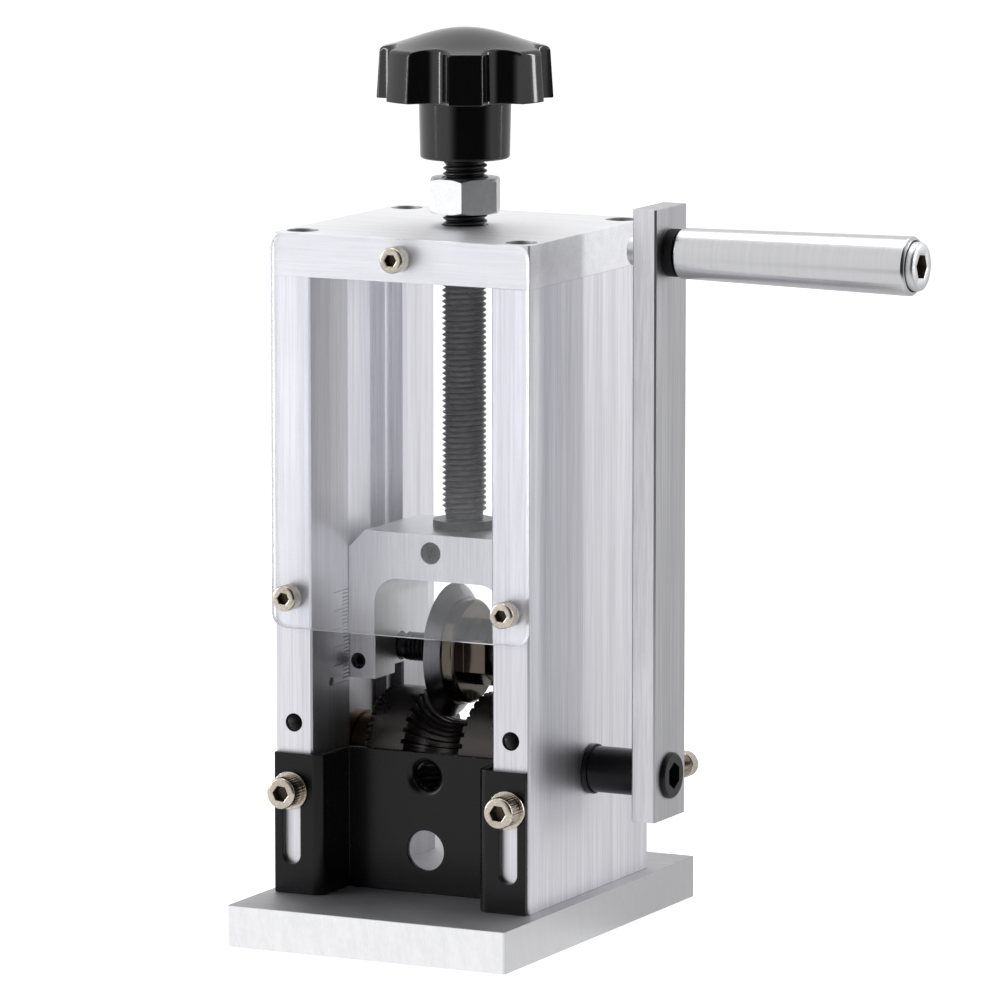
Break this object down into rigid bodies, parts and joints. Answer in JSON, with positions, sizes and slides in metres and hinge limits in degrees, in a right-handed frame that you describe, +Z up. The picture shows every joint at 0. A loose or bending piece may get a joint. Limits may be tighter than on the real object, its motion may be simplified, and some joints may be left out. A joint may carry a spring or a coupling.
{
  "type": "hand crank wire stripper",
  "caption": "Bench wire stripper: upright frame with a screw-adjusted cutter wheel over a toothed feed roller, side crank, clear guard and wire guide.",
  "frame": {"origin": "on the base plate's underside, directly below the feed screw's axis", "axes": "+X towards the crank, +Y from the front (guard and wire guide) to the back, +Z up along the feed screw"},
  "size_m": [0.1752, 0.118, 0.2438],
  "materials": {
    "aluminium_plate": "brushed, vertical grain",
    "aluminium_base": "milled, dull grey",
    "aluminium_block": "fine milled",
    "clear_acrylic": "clear, polished",
    "black_sheet": "black powder coat",
    "black_steel": "black oxide",
    "roller_steel": "oiled dark steel",
    "blade_steel": "ground",
    "nickel_steel": "nickel plated",
    "zinc_steel": "bright zinc",
    "bronze": "oiled sintered bronze",
    "turned_aluminium": "fine turned",
    "knob_plastic": "glossy black",
    "spacer_plastic": "black"
  },
  "bodies": {
    "frame": {"base_plate": "aluminium_base", "base_screws": "black_steel", "left_side_plate": "aluminium_plate", "right_side_plate": "aluminium_plate", "top_plate": "aluminium_plate", "top_plate_screws": "black_steel", "guard_panel": "clear_acrylic", "guard_screws": "nickel_steel", "guide_screws": "nickel_steel", "guide_washers": "nickel_steel", "left_bush": "bronze", "right_bush": "bronze"},
    "guide": {"guide_bracket": "black_sheet"},
    "carriage": {"carriage_block": "aluminium_block", "screw_retainer": "black_steel", "cutter_axle": "black_steel", "axle_set_screws": "black_steel", "axle_lock_nut": "black_steel", "cutter_bush": "bronze", "cutter_collar": "black_steel"},
    "screw": {"feed_screw": "black_steel", "screw_collar": "black_steel", "star_knob": "knob_plastic", "knob_insert": "bronze"},
    "nut": {"lock_nut": "zinc_steel"},
    "cutter": {"cutter_blade": "blade_steel", "cutter_hub": "roller_steel", "blade_screws": "black_steel"},
    "crank": {"drive_shaft": "black_steel", "shaft_collar": "black_steel", "shaft_clip": "black_steel", "left_thrust_ring": "bronze", "right_thrust_ring": "bronze", "feed_roller": "roller_steel", "roller_set_screws": "black_steel", "crank_arm": "aluminium_plate", "arm_clamp_screw": "nickel_steel", "handle_spacer": "spacer_plastic", "handle_bolt": "zinc_steel"},
    "handle": {"handle_sleeve": "turned_aluminium"}
  },
  "joints": [
    {"name": "carriage_lift", "type": "slide", "parent": "frame", "child": "carriage", "axis": [0, 0, 1], "range_m": [0, 0.063]},
    {"name": "feed_screw_turn", "type": "hinge", "parent": "carriage", "child": "screw", "pos_m": [0, 0, 0.19], "axis": [0, 0, 1], "range_deg": [0, 15120.1]},
    {"name": "lock_nut_run", "type": "slide", "parent": "screw", "child": "nut", "axis": [0, 0, 1], "range_m": [-0.0032, 0.005]},
    {"name": "guide_height", "type": "slide", "parent": "frame", "child": "guide", "axis": [0, 0, 1], "range_m": [0, 0.0175]},
    {"name": "crank_turn", "type": "hinge", "parent": "frame", "child": "crank", "pos_m": [0, 0, 0.0448], "axis": [1, 0, 0], "continuous": true},
    {"name": "handle_spin", "type": "hinge", "parent": "crank", "child": "handle", "pos_m": [0.0643, 0, 0.1858], "axis": [1, 0, 0], "continuous": true},
    {"name": "cutter_spin", "type": "hinge", "parent": "carriage", "child": "cutter", "pos_m": [-0.0036, 0, 0.0742], "axis": [1, 0, 0], "continuous": true}
  ],
  "couplings": [
    {"joint": "feed_screw_turn", "follows": "carriage_lift", "rad_per_m": 4188.8}
  ]
}
